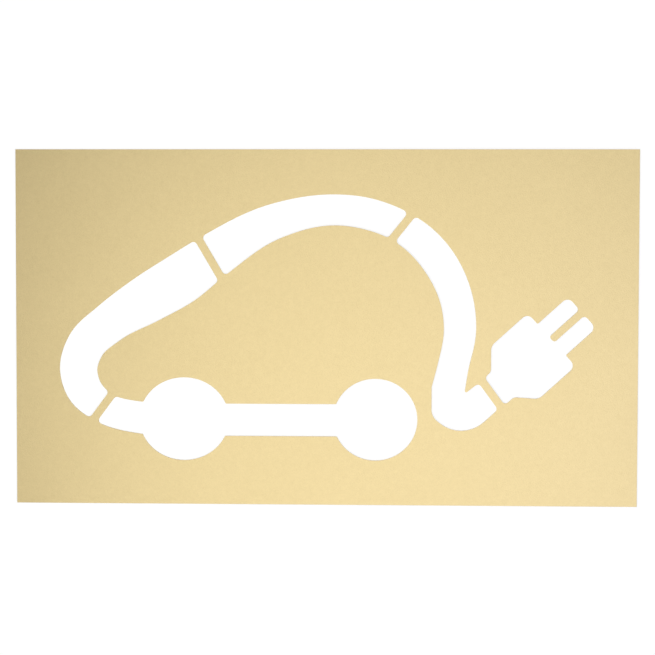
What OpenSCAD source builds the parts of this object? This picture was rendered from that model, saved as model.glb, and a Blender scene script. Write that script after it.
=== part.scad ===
// Road marking stencil: one flat sheet with an electric-car figure cut right through it.
// A cable draws the car. It runs from the rear wheel along the sill to the front wheel,
// round the nose, over the roof and down the tail, and ends in a plug.
// Bridges across the cable hold the inner area of the sheet to its border.
// The figure fills the sheet up to that border, which is as wide on all four sides.
// The sheet lies flat: its underside is at z = 0, and the origin is under its middle.

/* [Sheet] */
// Length of the sheet
sheet_w = 700; // [600:5:900]
// Width of the sheet
sheet_h = 400; // [340:5:520]
// Thickness of the sheet
sheet_t = 2; // [0.5:0.1:6]
// Width of the border around the figure
border_w = 50; // [20:1:80]

/* [Cable] */
// Width of the cable where it is plain
cable_w = 36.5; // [26:0.5:42]
// Width of the bridges across the cable
bridge_w = 9; // [4:0.5:16]
// Diameter of the cutter, which leaves every inner corner round
cutter_d = 9; // [2:0.5:14]
// Radius of the sheet's own corners beside the cuts
corner_r = 1.5; // [0.3:0.1:3]

/* [Wheels] */
// Height of the wheels' centres above the car's feet
axle_h = 46.5; // [36:0.1:56]
// Length of the front wheel
front_wheel_w = 101.5; // [80:0.5:115]
// Height of the front wheel
front_wheel_h = 93.8; // [70:0.2:110]
// Length of the rear wheel
rear_wheel_w = 95; // [80:0.5:110]
// Height of the rear wheel
rear_wheel_h = 92.4; // [70:0.2:110]
// Distance from the nose to the front wheel's centre
nose_reach = 140.5; // [125:0.5:160]
// Width of the web of sheet between the rear wheel and the tail
tail_web = 15.8; // [6:0.2:40]
// Height of the sill between the wheels
sill_h = 36.5; // [20:0.5:60]
// Drop of the sill's middle below the wheels' centres
sill_drop = 0.9; // [0:0.1:10]

/* [Lead] */
// Distance across from the tail's foot to the middle of the plug's bridge
lead_reach = 48.6; // [40:0.2:60]
// Drop from the tail's foot to the middle of the plug's bridge
lead_drop = 3.2; // [0:0.2:10]
// Distance along the lead from the plug's bridge back to the heel
heel_l = 61; // [54:0.5:66]
// Drop of the tail's back edge below the tail's foot
heel_drop = 33; // [28:0.5:40]
// Radius under the heel
heel_r = 38; // [16:0.5:40]
// Radius behind the heel
heel_back_r = 16; // [5:0.5:18]

/* [Plug] */
// Tilt of the plug from the sheet's long side, in degrees
plug_tilt = 42.25; // [36:0.25:50]
// Length of the neck, from the middle of its bridge to the shoulders
neck_l = 16; // [12:0.5:24]
// Width of the neck at the bridge
neck_w = 38.2; // [26:0.1:44]
// Shift of the neck below the plug's middle line
neck_shift = 0.7; // [0:0.1:3]
// Length of the sloping shoulders
shoulder_l = 19.5; // [8:0.5:26]
// Width of the plug's body
plug_w = 80; // [64:0.5:90]
// Length of the body's straight sides
body_l = 55; // [30:0.5:64]
// Length of the prongs
prong_l = 45.5; // [24:0.5:56]
// Width of each prong
prong_w = 19.3; // [15:0.1:24]
// Width of the finger of sheet between the prongs
finger_w = 8.5; // [4:0.5:14]
// Radius of the plug's front corners and prong tips
plug_r = 7.5; // [4.5:0.1:8]
// Radius of the slope from the neck to the shoulders
neck_r = 8; // [1:0.5:12]
// Radius of the shoulders
shoulder_r = 12; // [5:0.5:20]

/* [Hidden] */
// Radius of the finger's tip, as a share of its width
finger_tip_share = 0.4;
// Reach of a bridge, as a share of the plain cable's width
bridge_reach_share = 1.7;
// Length by which a cut runs past the face that it goes through
overrun = 1;
// Steps of the curve between two stations
curve_steps = 8;
// Steps of a round corner of the plug or the heel
corner_steps = 8;
// Facets of a wheel, and of a whole turn of the cutter
wheel_facets = 72;
cutter_facets = 32;

// Stations along the middle of the cable, from the front wheel to the tail's foot: shares of
// the car's length from its nose, of its height from its feet, and of the plain cable's width
cable_shares = [
    [0.196, 0.158, 0.99],
    [0.102, 0.198, 0.99],
    [0.058, 0.262, 1.12],
    [0.044, 0.343, 1.17],
    [0.063, 0.434, 1.20],
    [0.120, 0.516, 1.25],
    [0.213, 0.608, 1.50],
    [0.290, 0.680, 1.57],
    [0.361, 0.759, 1.42],
    [0.510, 0.894, 1.10],
    [0.664, 0.941, 0.95],
    [0.732, 0.929, 0.97],
    [0.820, 0.877, 0.98],
    [0.859, 0.835, 1.02],
    [0.898, 0.772, 1.05],
    [0.952, 0.602, 1.01],
    [0.960, 0.493, 0.99],
    [0.943, 0.348, 0.96],
    [0.932, 0.266, 1.03],
];
// Stations that a bridge crosses, counted from the front wheel's centre, and the angles in degrees
// by which the bridges lean from square across the cable
bridge_stations = [2, 9, 13];
bridge_leans = [-6, -3.5, -9.5];
plug_bridge_lean = -6;

function unit(v) = v / norm(v);
function reversed(list) = [for (i = [len(list) - 1:-1:0]) list[i]];
function turned(p, a) = [p.x * cos(a) - p.y * sin(a), p.x * sin(a) + p.y * cos(a)];

// Slope at b of a smooth curve that comes from a and goes on to c
function slope(a, b, c) =
    let (before = norm(b - a), after = norm(c - b))
    ((b - a) * after / before + (c - b) * before / after) / (before + after);

// Smooth curve through all the points, in a number of steps from each to the next
function curve(points) =
    let (
        last = len(points) - 1,
        all = concat(
            [2 * points[0] - points[1]],
            points,
            [2 * points[last] - points[last - 1]]
        )
    )
    concat(
        [for (i = [1:last], k = [0:curve_steps - 1])
            let (
                t = k / curve_steps,
                s = 1 - t,
                reach = norm(all[i + 1] - all[i]),
                leave = slope(all[i - 1], all[i], all[i + 1]) * reach,
                arrive = slope(all[i], all[i + 1], all[i + 2]) * reach
            )
            (all[i] * (1 + 2 * t) + leave * t) * s * s + (all[i + 1] * (1 + 2 * s) - arrive * s) * t * t],
        [points[last]]
    );

// Direction of a band at one of its places, which are [x, y, width]
function heading(band, i) =
    let (step = band[min(i + 1, len(band) - 1)] - band[max(i - 1, 0)])
    unit([step.x, step.y]);

// Edge of a band on its left (hand = 1) or its right (hand = -1)
function band_edge(band, hand) =
    [for (i = [0:len(band) - 1])
        let (ahead = heading(band, i))
        [band[i].x, band[i].y] + hand * band[i].z / 2 * [-ahead.y, ahead.x]];

// Round corner at b on the way from a to c
function round_corner(a, b, c, r) =
    let (
        back = unit(a - b),
        on = unit(c - b),
        half = acos(back * on) / 2,
        centre = b + unit(back + on) * r / sin(half),
        start = b + back * r / tan(half) - centre,
        turn = sign(cross(back, on)) * (2 * half - 180)
    )
    [for (k = [0:corner_steps]) centre + turned(start, turn * k / corner_steps)];

// The plug is laid out from the middle of its bridge, first along x and then at its tilt,
// one half at a time from its neck to the finger between the prongs
shoulder = neck_l + shoulder_l;
front = shoulder + body_l;
tip = front + prong_l;
prong_in = finger_w / 2;
prong_out = prong_in + prong_w;
function half_plug(neck) = concat(
    [[0, neck]],
    round_corner([0, neck], [neck_l, neck], [shoulder, plug_w / 2], neck_r),
    round_corner([neck_l, neck], [shoulder, plug_w / 2], [front, plug_w / 2], shoulder_r),
    round_corner([shoulder, plug_w / 2], [front, plug_w / 2], [front, prong_out], plug_r),
    [[front, prong_out]],
    round_corner([front, prong_out], [tip, prong_out], [tip, prong_in], plug_r),
    [[tip, prong_in]],
    round_corner([tip, prong_in], [front, prong_in], [front, 0], finger_tip_share * finger_w)
);
upper_half = half_plug(neck_w / 2 - neck_shift);
lower_half = [for (p = reversed(half_plug(neck_w / 2 + neck_shift))) [p.x, -p.y]];
plug_outline = [for (p = concat(upper_half, lower_half)) turned(p, plug_tilt)];
plug_reach = lead_reach + max([for (p = plug_outline) p.x]);

// The car is laid out from the corner below its nose, with x along it and y up from its feet,
// and its size leaves room for the plug inside the border
tail_share = cable_shares[len(cable_shares) - 1].x;
car_w = (sheet_w - 2 * border_w - plug_reach) / tail_share;
car_h = sheet_h - 2 * border_w;
front_axle = [nose_reach, axle_h];
cable = curve(concat(
    [concat(front_axle, cable_w)],
    [for (s = cable_shares) [s.x * car_w, s.y * car_h, s.z * cable_w]]
));
outer_edge = band_edge(cable, 1);
inner_edge = reversed(band_edge(cable, -1));
tail_foot = cable[len(cable) - 1];
tail_back = inner_edge[0];
rear_axle = [tail_back.x - tail_web - rear_wheel_w / 2, axle_h];
plug_bridge = [tail_foot.x + lead_reach, tail_foot.y - lead_drop];

// The cable from the front wheel to the plug's bridge, round the heel where it turns up into the lead
module cable_run() {
    lead_top = plug_bridge + turned([0, cable_w / 2], plug_tilt);
    lead_foot = plug_bridge + turned([0, -cable_w / 2], plug_tilt);
    heel = plug_bridge + turned([-heel_l, -cable_w / 2], plug_tilt);
    heel_back = tail_back - [0, heel_drop];
    polygon(concat(
        outer_edge,
        [lead_top, lead_foot],
        round_corner(lead_foot, heel, heel_back, heel_r),
        round_corner(heel, heel_back, tail_back, heel_back_r),
        inner_edge
    ));
}

module wheel(centre, length, height) {
    translate(centre) scale([length / height, 1]) circle(d = height, $fn = wheel_facets);
}

module sill() {
    translate(front_axle - [0, sill_h / 2 + sill_drop]) square([rear_axle.x - front_axle.x, sill_h]);
}

module plug() {
    translate(plug_bridge) polygon(plug_outline);
}

// Strip of sheet that is left standing across the cable
module bridge(middle, angle) {
    translate(middle) rotate(angle) square([bridge_w, bridge_reach_share * cable_w], center = true);
}

module bridges() {
    for (i = [0:len(bridge_stations) - 1]) {
        place = bridge_stations[i] * curve_steps;
        ahead = heading(cable, place);
        bridge([cable[place].x, cable[place].y], atan2(ahead.y, ahead.x) + bridge_leans[i]);
    }
    bridge(plug_bridge, plug_tilt + plug_bridge_lean);
}

// The figure with the sharp corners that it is drawn with
module drawn_figure() {
    difference() {
        union() {
            cable_run();
            wheel(front_axle, front_wheel_w, front_wheel_h);
            wheel(rear_axle, rear_wheel_w, rear_wheel_h);
            sill();
            plug();
        }
        bridges();
    }
}

// The figure as it is cut: the cutter's radius in every corner of an opening, and the sheet's own
// corners eased
module figure() {
    $fn = cutter_facets;
    offset(r = -corner_r) offset(r = corner_r + cutter_d / 2) offset(delta = -cutter_d / 2) drawn_figure();
}

module stencil_sheet() {
    color([0.93, 0.85, 0.64]) translate([-sheet_w / 2, -sheet_h / 2, 0]) difference() {
        cube([sheet_w, sheet_h, sheet_t]);
        translate([border_w, border_w, -overrun]) linear_extrude(sheet_t + 2 * overrun) figure();
    }
}

stencil_sheet();
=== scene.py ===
# %% [markdown]
# # A road marking stencil
# The object is one thin sheet of pale straw plastic. It is laid on a parking space, and paint goes
# through its openings to draw a car whose outline is a cable that ends in a plug.
# The shape and the sizes are already settled in the packed CAD model, so this lesson gives the sheet
# its eased edges, its grain, its light and the camera of the photograph.

# %% Load the packed sheet
import math

import bmesh
import bpy
from mathutils import Matrix, Vector


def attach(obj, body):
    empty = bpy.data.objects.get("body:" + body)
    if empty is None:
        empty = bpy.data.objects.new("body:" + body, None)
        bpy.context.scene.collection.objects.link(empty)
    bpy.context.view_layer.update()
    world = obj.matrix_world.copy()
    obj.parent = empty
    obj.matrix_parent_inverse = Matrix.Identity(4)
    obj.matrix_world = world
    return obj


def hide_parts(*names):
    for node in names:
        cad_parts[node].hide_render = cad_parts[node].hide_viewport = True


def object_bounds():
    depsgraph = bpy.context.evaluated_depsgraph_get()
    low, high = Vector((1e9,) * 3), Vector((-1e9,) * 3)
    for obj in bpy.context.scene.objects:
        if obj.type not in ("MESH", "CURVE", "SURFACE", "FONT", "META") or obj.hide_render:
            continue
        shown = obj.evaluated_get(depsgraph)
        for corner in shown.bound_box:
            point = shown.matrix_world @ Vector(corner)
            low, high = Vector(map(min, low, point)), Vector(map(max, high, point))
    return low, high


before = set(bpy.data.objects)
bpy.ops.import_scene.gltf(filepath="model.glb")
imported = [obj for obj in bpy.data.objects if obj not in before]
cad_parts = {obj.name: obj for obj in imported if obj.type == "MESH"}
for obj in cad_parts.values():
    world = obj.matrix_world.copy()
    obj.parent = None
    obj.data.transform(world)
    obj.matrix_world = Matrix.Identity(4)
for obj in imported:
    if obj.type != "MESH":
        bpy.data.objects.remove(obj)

SHEET_NODE = "stencil_sheet"
scene = bpy.context.scene
cad_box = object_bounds()
cad_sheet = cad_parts[SHEET_NODE]
print("Lowest and highest corner of the CAD model, in metres:",
      [[round(number, 4) for number in corner] for corner in cad_box])

# %% [markdown]
# ## The camera
# The photograph looks almost straight down on the sheet, from a little beyond its upper right.
# A camera can be aimed with a Track To constraint or with angles, but a constraint has no clear "up" for
# a camera that looks down. Here its three axes are worked out from where it stands and what it looks at,
# and a last small roll levels the picture.

# %% Place the camera
CAMERA_PLACE = Vector((0.079, 0.089, 2.044))
LOOKED_AT = Vector((0.0024, 0.0003, 0.002))
CAMERA_ROLL = math.radians(0.12)
LENS_MM = 100
SENSOR_MM = 36

backward = (CAMERA_PLACE - LOOKED_AT).normalized()
rightward = Vector((0, 1, 0)).cross(backward).normalized()
upward = backward.cross(rightward)
aim = Matrix((rightward, upward, backward)).transposed().to_4x4()

camera = bpy.data.objects.new("camera", bpy.data.cameras.new("camera"))
camera.data.lens = LENS_MM
camera.data.sensor_width = SENSOR_MM
camera.matrix_world = Matrix.Translation(CAMERA_PLACE) @ aim @ Matrix.Rotation(CAMERA_ROLL, 4, "Z")
scene.collection.objects.link(camera)
scene.camera = camera
tilt = math.degrees(backward.angle(Vector((0, 0, 1))))
print("The camera tilts", round(tilt, 2), "degrees from straight down")

# %% [markdown]
# ## A helper for nodes
# Every finish and the sheet itself are made with nodes. Adding nodes one by one takes many lines, so one
# small class holds an output socket and lets it be used in sums like a number: each sum adds a Math
# node. Vectors and colours have methods of their own, because a Math node would keep only one number of
# them. The method `node` adds any other node, with its settings first and its sockets after them.

# %% Wires between nodes
class Wire:
    """An output socket of a node tree, or only the tree where no node is made yet."""

    # A Mix node has a set of sockets for each kind of value, so its colours are found by number
    MIX_FACTOR, MIX_FIRST, MIX_SECOND, MIX_RESULT = 0, 6, 7, 2

    def __init__(self, tree, socket=None):
        self.tree = tree
        self.socket = socket

    def node(self, kind, inputs, output=0, **settings):
        made = self.tree.nodes.new(kind)
        for name, value in settings.items():
            setattr(made, name, value)
        for name, value in inputs.items():
            for wire in value if isinstance(value, list) else [value]:
                if isinstance(wire, Wire):
                    self.tree.links.new(wire.socket, made.inputs[name])
                else:
                    made.inputs[name].default_value = wire
        return Wire(self.tree, made.outputs[output] if made.outputs else None)

    def output(self, name):
        return Wire(self.tree, self.socket.node.outputs[name])

    def maths(self, operation, *values):
        return self.node("ShaderNodeMath", dict(enumerate(values)), operation=operation)

    def moved_by(self, vector):
        return self.node("ShaderNodeVectorMath", {0: self, 1: vector}, operation="ADD")

    def scaled_by(self, number):
        return self.node("ShaderNodeVectorMath", {0: self, "Scale": number}, operation="SCALE")

    def between(self, first, second):
        """The first colour where this number is 0, the second where it is 1."""
        colours = {self.MIX_FACTOR: self, self.MIX_FIRST: first, self.MIX_SECOND: second}
        return self.node("ShaderNodeMix", colours, self.MIX_RESULT, data_type="RGBA")

    def __add__(self, other):
        return self.maths("ADD", self, other)

    def __sub__(self, other):
        return self.maths("SUBTRACT", self, other)

    def __rsub__(self, other):
        return self.maths("SUBTRACT", other, self)

    def __mul__(self, other):
        return self.maths("MULTIPLY", self, other)

    def __truediv__(self, other):
        return self.maths("DIVIDE", self, other)

    __radd__ = __add__
    __rmul__ = __mul__


print("The methods of a wire:", ", ".join(name for name in vars(Wire) if name.islower() and name[0] != "_"))

# %% [markdown]
# ## The sky
# The pale walls of a studio send a dim light from all sides. A picture of a sky could do that, but its bright
# and dark parts would have no use over a flat sheet, so the sky is one even level. The camera sees it
# as plain white, and so do reflections, while the sheet gets only the dim level.

# %% Make the sky
SKY_LEVEL = 0.30
WHITE = (1, 1, 1)


def seen_directly(start):
    """1 for rays of the camera, of reflections and of clear materials, and 0 for rays that gather light."""
    camera_ray = start.node("ShaderNodeLightPath", {}, "Is Camera Ray")
    mirrored = camera_ray.maths("MAXIMUM", camera_ray, camera_ray.output("Is Glossy Ray"))
    return mirrored.maths("MAXIMUM", mirrored, camera_ray.output("Is Transmission Ray"))


scene.view_settings.view_transform = "Standard"
scene.world = bpy.data.worlds.new("studio_sky")
scene.world.use_nodes = True
scene.world.node_tree.nodes.clear()
sky = Wire(scene.world.node_tree)
sky_strength = SKY_LEVEL + (1 - SKY_LEVEL) * seen_directly(sky)
sky_light = sky.node("ShaderNodeBackground", {"Color": (*WHITE, 1), "Strength": sky_strength})
sky.node("ShaderNodeOutputWorld", {"Surface": sky_light})
print("The sky lights the sheet at a level of", SKY_LEVEL)

# %% [markdown]
# ## The panels
# The photograph is lit softly from the lower right, and the sheet darkens by a third towards its upper
# left corner. A sun lamp would light a flat sheet evenly and a small lamp would draw hard shadows, so a
# large round panel hangs close above the sheet and leans away from that corner. A small cool panel takes
# a little of the yellow from the right end, as daylight from a window would.

# %% Hang the panels
COOL = (0.57, 0.61, 1)


def hang_panel(name, place, facing, width, watts, colour):
    panel = bpy.data.objects.new(name, bpy.data.lights.new(name, "AREA"))
    panel.data.shape = "DISK"
    panel.data.size = width
    panel.data.energy = watts
    panel.data.color = colour
    panel.location = place
    panel.rotation_euler = Vector(facing).to_track_quat("-Z", "Y").to_euler()
    panel.visible_camera = False
    scene.collection.objects.link(panel)
    print(name, "is", width, "m wide and hangs", place[2], "m above the floor")


hang_panel("soft_panel", (0.163, -0.152, 0.54), (0.451, 0.096, -1), width=1.23, watts=4.56, colour=WHITE)
hang_panel("cool_panel", (0.388, -0.143, 0.571), (0.682, -0.451, -1), width=0.35, watts=0.73, colour=COOL)

# %% [markdown]
# ## The finish of the floor
# The sheet lies on a plain white floor, which also shows through its openings. A floor that is only lit
# comes out grey, and more light would wash out the sheet. So the floor glows for the rays that look at it,
# just enough to be white where nothing shades it, and it still takes the sheet's shadow. The light of
# the panels fades with the distance from its brightest spot, so the glow grows there by as much.

# %% White floor
FLOOR_COLOUR = (0.45, 0.45, 0.45, 1)
BRIGHT_SPOT = (0.15, -0.15, 0)
BRIGHT_LEVEL = 0.97
FADE_START = 0.1
FADE_END = 0.95


def empty_material(name):
    material = bpy.data.materials.new(name)
    material.use_nodes = True
    material.node_tree.nodes.clear()
    return material, Wire(material.node_tree)


def floor_glow(level):
    """What is missing to white where the light has this level."""
    grey = 1 - FLOOR_COLOUR[0] * level
    return (grey, grey, grey, 1)


floor_finish, start = empty_material("white_floor")
place = start.node("ShaderNodeTexCoord", {}, "Object")
distance = place.node("ShaderNodeVectorMath", {0: place, 1: BRIGHT_SPOT}, "Value", operation="DISTANCE")
fade = place.node("ShaderNodeMapRange", {
    "Value": distance, "From Min": FADE_START, "From Max": FADE_END}, interpolation_type="SMOOTHSTEP")
glow_colour = fade.between(floor_glow(BRIGHT_LEVEL), floor_glow(SKY_LEVEL))
glow = place.node("ShaderNodeEmission", {"Color": glow_colour, "Strength": seen_directly(start)})
lit = place.node("ShaderNodeBsdfDiffuse", {"Color": FLOOR_COLOUR})
both = place.node("ShaderNodeAddShader", {0: lit, 1: glow})
start.node("ShaderNodeOutputMaterial", {"Surface": both})
print("The floor glows from", round(floor_glow(BRIGHT_LEVEL)[0], 2), "to", round(floor_glow(SKY_LEVEL)[0], 2))

# %% [markdown]
# ## The floor
# One large square is enough for a level floor. It could be a plane from Blender's own list of shapes, but a
# mesh from four corners needs no selected object.

# %% Lay the floor
FLOOR_HALF = 4

floor_mesh = bpy.data.meshes.new("floor")
corners = [(-1, -1), (1, -1), (1, 1), (-1, 1)]
floor_mesh.from_pydata([(x * FLOOR_HALF, y * FLOOR_HALF, 0) for x, y in corners], [], [(0, 1, 2, 3)])
floor_mesh.materials.append(floor_finish)
floor = bpy.data.objects.new("floor", floor_mesh)
scene.collection.objects.link(floor)
print("The floor is", 2 * FLOOR_HALF, "m wide")

# %% [markdown]
# ## The outlines
# Six lines bound the sheet: its rim and five openings. They could be drawn again here, but then they
# could drift away from the CAD model. Instead they are read from a copy of the CAD mesh, whose loose
# triangles are first merged: a line of an outline is an edge between the top face and a wall.

# %% Read the outlines
DOUBLES = 1e-5
FLAT = 0.99

merged = bmesh.new()
merged.from_mesh(cad_sheet.data)
bmesh.ops.remove_doubles(merged, verts=merged.verts, dist=DOUBLES)
merged.verts.index_update()
following = {}
for face in merged.faces:
    if face.normal.z > FLAT:
        for loop in face.loops:
            if any(abs(other.normal.z) < 1 - FLAT for other in loop.edge.link_faces):
                following[loop.vert] = loop.link_loop_next.vert

outlines = []
while following:
    first = min(following, key=lambda vert: vert.index)
    line = [first]
    while following[line[-1]] is not first:
        line.append(following.pop(line[-1]))
    following.pop(line[-1])
    outlines.append([Vector((vert.co.x, vert.co.y, 0)) for vert in line])
merged.free()
print(len(outlines), "outlines with", [len(line) for line in outlines], "points")

# %% [markdown]
# ## The way into the plastic
# The edges of the sheet will be rounded, so each point has to know which way the plastic lies. A plain
# average of the directions at a corner would cut it short. The vector here is a mitre instead:
# it is so long that a step along it shifts both neighbouring edges by the same amount.

# %% Point into the plastic
MM_PER_M = 1000


def into_plastic(before, here, after):
    """The plastic lies on the left of every outline."""
    lefts = []
    for step in ((here - before).normalized(), (after - here).normalized()):
        lefts.append(Vector((-step.y, step.x, 0)))
    return (lefts[0] + lefts[1]) / (1 + lefts[0].dot(lefts[1]))


points, edges, inward = [], [], []
for line in outlines:
    base, count = len(points), len(line)
    points += line
    edges += [(base + i, base + (i + 1) % count) for i in range(count)]
    inward += [into_plastic(line[i - 1], line[i], line[(i + 1) % count]) for i in range(count)]
shortest = min((points[b] - points[a]).length for a, b in edges)
print("The longest mitre is", round(max(vector.length for vector in inward), 3),
      "and the shortest edge", round(shortest * MM_PER_M, 3), "mm")

# %% [markdown]
# ## The grain of the faces
# The plastic is matte, with a fine pebbled grain of about a millimetre that was rolled into the sheet while
# it was warm. An image could give the grain, but it would stretch and repeat. Here each cell of a pattern
# is a pebble that is highest in its middle, and fine noise breaks them up. Their height moves the light by
# a bump.

# %% Grain
PEBBLE_SCALE = 900
PEBBLE_SOFTNESS = 0.35
PEBBLE_SHARE = 0.6
DUST_SCALE = 2600
DUST_DETAIL = 2
GRAIN_DEPTH = 0.00026

face_finish, start = empty_material("grained_straw_plastic")
place = start.node("ShaderNodeTexCoord", {}, "Object")
hollows = place.node("ShaderNodeTexVoronoi", {
    "Vector": place, "Scale": PEBBLE_SCALE, "Smoothness": PEBBLE_SOFTNESS}, "Distance", feature="SMOOTH_F1")
dust = place.node("ShaderNodeTexNoise", {"Vector": place, "Scale": DUST_SCALE, "Detail": DUST_DETAIL})
grain = PEBBLE_SHARE * (1 - hollows) + (1 - PEBBLE_SHARE) * dust
relief = place.node("ShaderNodeBump", {"Height": grain, "Distance": GRAIN_DEPTH})
print("The pebbles are about", round(MM_PER_M / PEBBLE_SCALE, 1), "mm wide")

# %% [markdown]
# ## Bits of darker resin
# A few small dark specks are bits of other resin in the plastic. Points scattered as a mesh would stand on
# the surface, so the specks are the cores of cells, and only the few cells with the highest random
# value show theirs.

# %% Specks
SPECK_SCALE = 160
SPECK_CORE = 0.06
SPECK_RIM = 0.12
SPECK_CHANCE = 0.1

cells = place.node("ShaderNodeTexVoronoi", {"Vector": place, "Scale": SPECK_SCALE}, "Distance")
chosen = place.node("ShaderNodeSeparateColor", {"Color": cells.output("Color")}, "Red")
core = place.node("ShaderNodeMapRange", {
    "Value": cells, "From Min": SPECK_CORE, "From Max": SPECK_RIM, "To Min": 1, "To Max": 0})
specks = core * chosen.maths("GREATER_THAN", chosen, 1 - SPECK_CHANCE)
print("The specks are up to", round(2 * SPECK_RIM * MM_PER_M / SPECK_SCALE, 1), "mm wide")

# %% [markdown]
# ## The uneven tone of the faces, and painted shade in the grain
# Close up, the straw colour isn't even. It is painted a little deeper in the hollows of the grain, as painted
# shade, it is mottled over a few millimetres, and slow clouds keep the large plain areas from looking
# printed.
# Each could mix a colour of its own, but one number that gathers them all is easier to balance.

# %% Tone
MIDDLE = 0.5
GRAIN_SHADE_MIDDLE = 0.4
GRAIN_SHADE_WEIGHT = 0.8
MOTTLE_SCALE = 220
MOTTLE_DETAIL = 5
MOTTLE_ROUGHNESS = 0.8
MOTTLE_WEIGHT = 1.3
CLOUD_SCALE = 9
CLOUD_DETAIL = 3
CLOUD_WEIGHT = 0.25
SPECK_WEIGHT = 0.5

mottle = place.node("ShaderNodeTexNoise", {
    "Vector": place, "Scale": MOTTLE_SCALE, "Detail": MOTTLE_DETAIL, "Roughness": MOTTLE_ROUGHNESS})
clouds = place.node("ShaderNodeTexNoise", {"Vector": place, "Scale": CLOUD_SCALE, "Detail": CLOUD_DETAIL})
# The grain term is painted shade: the colour is made deeper where the grain is low.
tone_and_grain_shade = MIDDLE + GRAIN_SHADE_WEIGHT * (grain - GRAIN_SHADE_MIDDLE) + MOTTLE_WEIGHT * (mottle - MIDDLE)
tone_and_grain_shade = tone_and_grain_shade + CLOUD_WEIGHT * (clouds - MIDDLE) - SPECK_WEIGHT * specks
print("The mottle is about", round(MM_PER_M / MOTTLE_SCALE, 1), "mm wide, and a cloud",
      round(MM_PER_M / CLOUD_SCALE), "mm")

# %% [markdown]
# ## Straw plastic
# The tone picks a colour between a deep and a pale straw. A gloss coat would show the panel as a bright
# patch, which the photograph doesn't have, so the plastic is rough with little shine, and the dust of
# the grain makes it rough by uneven amounts.

# %% Straw plastic
STRAW_DEEP = (0.788, 0.623, 0.302, 1)
STRAW_PALE = (0.896, 0.721, 0.367, 1)
FACE_ROUGHNESS = 0.52
DUST_ROUGHNESS = 0.12
GLOSS = 0.3

face_shader = place.node("ShaderNodeBsdfPrincipled", {
    "Base Color": tone_and_grain_shade.between(STRAW_DEEP, STRAW_PALE),
    "Roughness": FACE_ROUGHNESS + DUST_ROUGHNESS * dust, "Specular IOR Level": GLOSS, "Normal": relief})
start.node("ShaderNodeOutputMaterial", {"Surface": face_shader})
print("The finish of the faces has", len(face_finish.node_tree.nodes), "nodes")

# %% [markdown]
# ## The finish of the cut walls
# A router cut the rim and the openings. It leaves the walls a little paler and rougher than the rolled
# faces, with fine upright marks where its teeth passed. The paler colour also covers the rounded rims, where
# it is partly a painted highlight along every edge. Modelling each mark would take a million
# faces for two millimetres of wall. A noise that hardly changes along z gives the same upright marks.

# %% Routed edge
# The pale cut colours are partly the routed plastic's own and partly a painted highlight on the rounded rims.
CUT_DEEP = (0.82, 0.66, 0.35, 1)
CUT_PALE = (0.93, 0.77, 0.45, 1)
MARK_SCALE = 1800
MARK_DETAIL = 2
MARK_DEPTH = 0.00002
UPRIGHT = (1, 1, 0.03)
CUT_ROUGHNESS = 0.6
MARK_ROUGHNESS = 0.15

cut_finish_and_rim_highlight, start = empty_material("routed_straw_edge_and_rim_highlight")
place = start.node("ShaderNodeTexCoord", {}, "Object")
stretched = place.node("ShaderNodeMapping", {"Vector": place, "Scale": UPRIGHT})
marks = place.node("ShaderNodeTexNoise", {"Vector": stretched, "Scale": MARK_SCALE, "Detail": MARK_DETAIL})
cut_relief = place.node("ShaderNodeBump", {"Height": marks, "Distance": MARK_DEPTH})
cut_shader = place.node("ShaderNodeBsdfPrincipled", {
    "Base Color": marks.between(CUT_DEEP, CUT_PALE), "Roughness": CUT_ROUGHNESS + MARK_ROUGHNESS * marks,
    "Specular IOR Level": GLOSS, "Normal": cut_relief})
start.node("ShaderNodeOutputMaterial", {"Surface": cut_shader})
print("The cutter's marks are about", round(MM_PER_M / MARK_SCALE, 1), "mm wide")

# %% [markdown]
# ## The sheet
# The sheet follows a rule: the same rounded wall runs along every outline, and two flat faces close it.
# A bevel modifier could round the CAD mesh, but it stumbles over the long thin triangles there.
# Geometry Nodes make the wall and the faces instead, so this tree takes the outlines, and its sizes and
# finishes have names that can be changed in the modifier.

# %% A tree with named sizes
sheet_tree = bpy.data.node_groups.new("eased_sheet", "GeometryNodeTree")
sheet_tree.interface.new_socket("Sheet", in_out="OUTPUT", socket_type="NodeSocketGeometry")
identifiers = {}
for name, kind in {"Outlines": "Geometry", "Thickness": "Float", "Edge Ease": "Float", "Ease Steps": "Int",
                   "Face Finish": "Material", "Cut Finish And Rim Highlight": "Material"}.items():
    made = sheet_tree.interface.new_socket(name, in_out="INPUT", socket_type="NodeSocket" + kind)
    identifiers[name] = made.identifier

begin = Wire(sheet_tree)
outline_input = begin.node("NodeGroupInput", {})
thickness = outline_input.output("Thickness")
ease = outline_input.output("Edge Ease")
steps = outline_input.output("Ease Steps")
print("The tree takes", ", ".join(identifiers))

# %% [markdown]
# ## The swept wall
# Each outline becomes a curve, and a short line is swept along it. The line has a point for every row of
# the rounded wall and numbers them from the top. Sweeping the rounded section itself would turn it with
# the curve and pinch it in tight corners, so the sweep gives only the rows and their faces.

# %% Sweep the rows
last_row = 2 * steps + 1
section = begin.node("GeometryNodeCurvePrimitiveLine", {})
section = begin.node("GeometryNodeResampleCurve", {"Curve": section, "Count": last_row + 1})
section = begin.node("GeometryNodeStoreNamedAttribute", {
    "Geometry": section, "Name": "row", "Value": begin.node("GeometryNodeInputIndex", {})},
    data_type="FLOAT", domain="POINT")
paths = begin.node("GeometryNodeMeshToCurve", {"Mesh": outline_input})
wall = begin.node("GeometryNodeCurveToMesh", {"Curve": paths, "Profile Curve": section})
print("The wall is swept by", wall.socket.node.bl_label)

# %% [markdown]
# ## The rounded edges
# On the real sheet the cutter leaves edges that are just blunt enough not to cut a hand. Now every
# point is put in its place by arithmetic: the first rows turn over the top edge by a quarter of a circle,
# the last rows turn under the bottom edge, and the wall stands upright between them.

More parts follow.
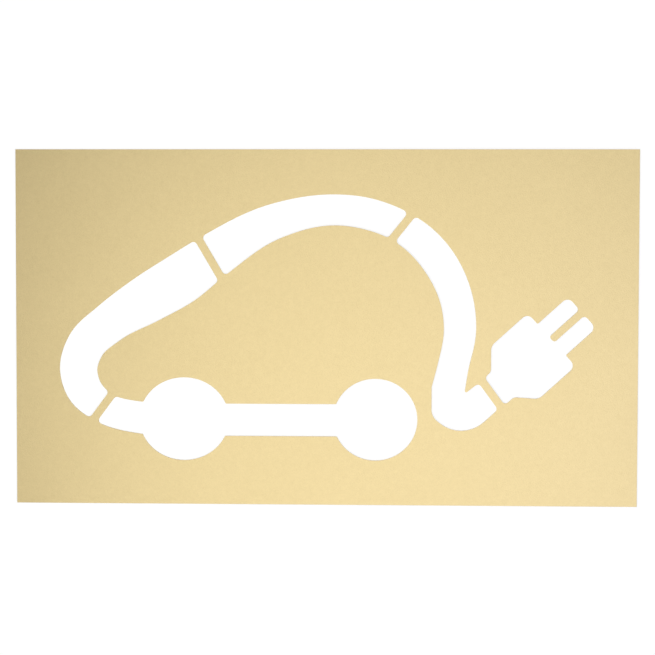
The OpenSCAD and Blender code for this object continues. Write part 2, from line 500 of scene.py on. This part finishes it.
# %% Put the rows in place
HALF_ROW = 0.5
QUARTER_TURN = math.pi / 2


def carried(name, kind):
    """A value that the points of the outlines or of the rows carry."""
    return begin.node("GeometryNodeInputNamedAttribute", {"Name": name}, "Attribute", data_type=kind)


def raised(height):
    return begin.node("ShaderNodeCombineXYZ", {"Z": height})


row = carried("row", "FLOAT")
is_upper = row.maths("LESS_THAN", row, steps + HALF_ROW)
turn = is_upper * row + (1 - is_upper) * (last_row - row)
angle = turn / steps * QUARTER_TURN
inset = ease * (1 - angle.maths("SINE", angle))
drop = ease * (1 - angle.maths("COSINE", angle))
height = is_upper * (thickness - drop) + (1 - is_upper) * drop

to_plastic = carried("into_plastic", "FLOAT_VECTOR")
row_place = carried("outline_place", "FLOAT_VECTOR").moved_by(to_plastic.scaled_by(inset))
wall = begin.node("GeometryNodeSetPosition", {
    "Geometry": wall, "Position": row_place.moved_by(raised(height))})
wall = begin.node("GeometryNodeStoreNamedAttribute", {
    "Geometry": wall, "Name": "is_cut", "Value": True}, data_type="BOOLEAN", domain="FACE")
print("The tree has", len(sheet_tree.nodes), "nodes so far")

# %% [markdown]
# ## The two faces
# The faces end where the rounded edges begin, so the outlines are first drawn in by the ease. A grid could
# be cut to shape by a Boolean, but filled curves leave the openings free by themselves. A copy of the
# underside is raised by the thickness for the top face, and merging points that lie together closes the
# sheet.

# %% Fill the faces
drawn_in = begin.node("GeometryNodeSetPosition", {"Geometry": paths, "Offset": to_plastic.scaled_by(ease)})
underside = begin.node("GeometryNodeFillCurve", {"Curve": drawn_in})
top = begin.node("GeometryNodeSetPosition", {"Geometry": underside, "Offset": raised(thickness)})
sheet = begin.node("GeometryNodeJoinGeometry", {"Geometry": [wall, top, underside]})
sheet = begin.node("GeometryNodeMergeByDistance", {"Geometry": sheet, "Distance": DOUBLES})
print("The tree has", len(sheet_tree.nodes), "nodes so far")

# %% [markdown]
# ## Flat and smooth places
# Smooth shading hides the facets of the rounded walls, but on the large faces it would leave dark smears
# beside the edges. So the faces are shaded flat, and so are the sharp corners of the sheet itself. The
# tree ends with the finishes: one for everything, and then the routed one, with its painted rim highlight,
# for what was swept.

# %% Shade and finish
SHARP_ANGLE = math.radians(40)

is_cut = carried("is_cut", "BOOLEAN")
is_face = begin.node("FunctionNodeBooleanMath", {0: is_cut}, operation="NOT")
bend = begin.node("GeometryNodeInputMeshEdgeAngle", {}, "Unsigned Angle")
is_corner = bend.maths("GREATER_THAN", bend, SHARP_ANGLE)
for domain, flat_places in {"FACE": is_face, "EDGE": is_corner}.items():
    sheet = begin.node("GeometryNodeSetShadeSmooth", {
        "Geometry": sheet, "Selection": flat_places, "Shade Smooth": False}, domain=domain)
sheet = begin.node("GeometryNodeRealizeInstances", {"Geometry": sheet})
sheet = begin.node("GeometryNodeSetMaterial", {
    "Geometry": sheet, "Material": outline_input.output("Face Finish")})
sheet = begin.node("GeometryNodeSetMaterial", {
    "Geometry": sheet, "Selection": is_cut, "Material": outline_input.output("Cut Finish And Rim Highlight")})
begin.node("NodeGroupOutput", {"Sheet": sheet})
print("The tree has", len(sheet_tree.nodes), "nodes")

# %% [markdown]
# ## Run the tree
# The outlines go in as a mesh of edges that carries each point's place and its way into the plastic. The
# thickness is the CAD model's own. An ease of 0.3 mm is enough to catch the light and too small to see from
# a step away.

# %% Give the tree its outlines
THICKNESS = cad_box[1].z - cad_box[0].z
EDGE_EASE = 0.0003
EASE_STEPS = 3

outline_mesh = bpy.data.meshes.new("outlines")
outline_mesh.from_pydata(points, edges, [])
for name, vectors in {"outline_place": points, "into_plastic": inward}.items():
    made = outline_mesh.attributes.new(name, "FLOAT_VECTOR", "POINT")
    made.data.foreach_set("vector", [number for vector in vectors for number in vector])
stencil = bpy.data.objects.new("eased_stencil_sheet", outline_mesh)
scene.collection.objects.link(stencil)
modifier = stencil.modifiers.new("eased_sheet", "NODES")
modifier.node_group = sheet_tree
for name, value in {"Thickness": THICKNESS, "Edge Ease": EDGE_EASE, "Ease Steps": EASE_STEPS,
                    "Face Finish": face_finish, "Cut Finish And Rim Highlight": cut_finish_and_rim_highlight}.items():
    modifier[identifiers[name]] = value
print(len(points), "points go in, for a sheet of", round(THICKNESS * MM_PER_M, 2), "mm")

# %% [markdown]
# ## Keep a plain mesh
# The export drops live node trees, so the result is kept as a plain mesh. Applying the modifier would do the
# same, but it needs a selected object. The values that only the tree needed are removed, and so is
# the empty material slot that it leaves.
# the empty material slot that it leaves.

# %% Keep the mesh
evaluated = stencil.evaluated_get(bpy.context.evaluated_depsgraph_get())
plain_mesh = bpy.data.meshes.new_from_object(evaluated)
stencil.modifiers.clear()
stencil.data = plain_mesh
for name in ("row", "outline_place", "into_plastic", "is_cut"):
    plain_mesh.attributes.remove(plain_mesh.attributes[name])
for slot in reversed(range(len(plain_mesh.materials))):
    if plain_mesh.materials[slot] is None:
        plain_mesh.materials.pop(index=slot)
for slot, material in enumerate(plain_mesh.materials):
    print(material.name, "is on", sum(face.material_index == slot for face in plain_mesh.polygons), "faces")

# %% [markdown]
# ## Turn the faces outwards
# The sweep and the fill don't agree on which side of a face is out. On a closed mesh Blender can find
# that by itself. A volume above zero shows that it did, and no edge may be left with one face only.

# %% Turn the faces and test the mesh
closed = bmesh.new()
closed.from_mesh(plain_mesh)
bmesh.ops.recalc_face_normals(closed, faces=closed.faces)
open_edges = sum(len(edge.link_faces) != 2 for edge in closed.edges)
print(len(closed.faces), "faces,", open_edges, "open edges,",
      round(closed.calc_volume(signed=True) * MM_PER_M ** 3), "cubic millimetres")
closed.to_mesh(plain_mesh)
closed.free()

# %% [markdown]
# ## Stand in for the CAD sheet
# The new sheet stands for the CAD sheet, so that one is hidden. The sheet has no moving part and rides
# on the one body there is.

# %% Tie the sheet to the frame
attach(stencil, "root")
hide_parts(SHEET_NODE)
